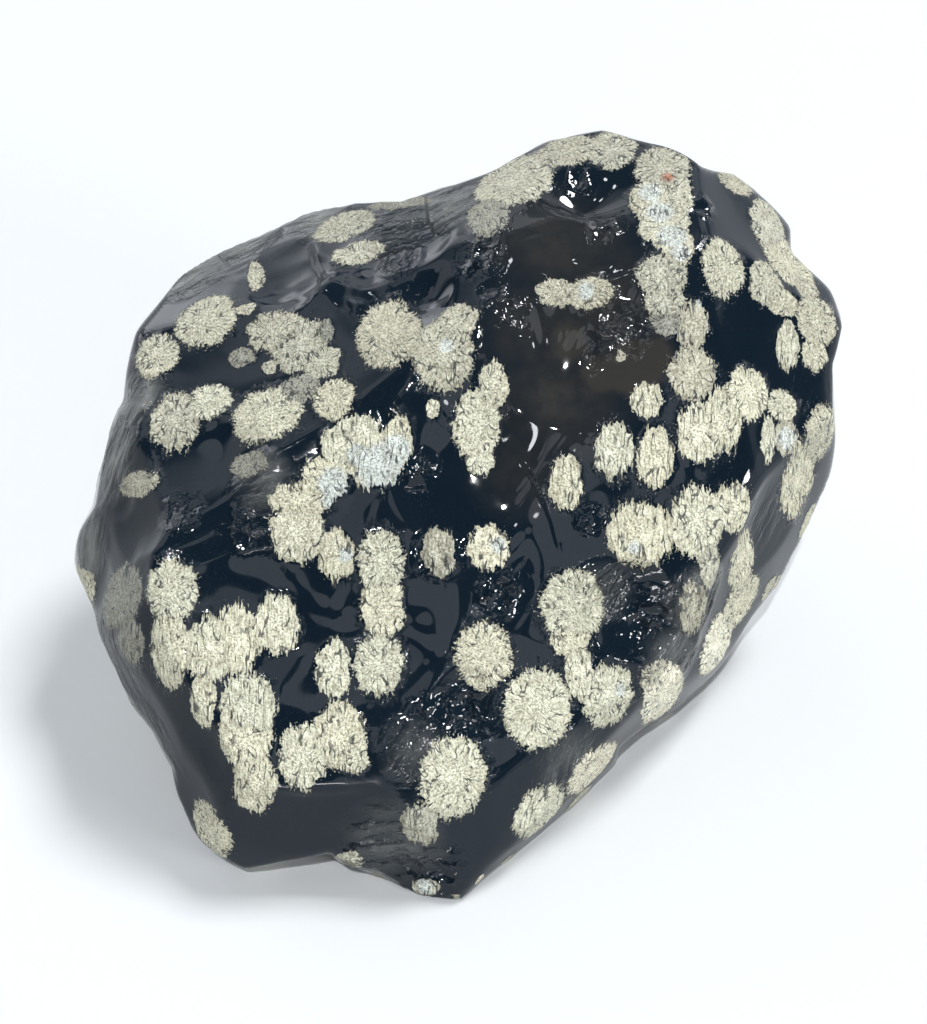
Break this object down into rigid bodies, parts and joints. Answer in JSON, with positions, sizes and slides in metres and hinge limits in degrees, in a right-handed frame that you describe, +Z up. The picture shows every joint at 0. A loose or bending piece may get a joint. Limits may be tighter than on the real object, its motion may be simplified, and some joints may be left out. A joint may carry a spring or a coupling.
{
  "type": "obsidian stone",
  "caption": "Lump of polished black volcanic glass with pale snowflake spots, scooped and faceted, resting on a flat break.",
  "frame": {"origin": "middle of the box around the lump, on the surface it rests on", "axes": "+Z up, +X along the lump's length, -Y the side that its broad face looks down towards"},
  "size_m": [0.1319, 0.1076, 0.0765],
  "materials": {
    "glass": "polished black volcanic glass with duller pale spots"
  },
  "bodies": {
    "root": {"obsidian_lump": "glass"}
  },
  "joints": []
}
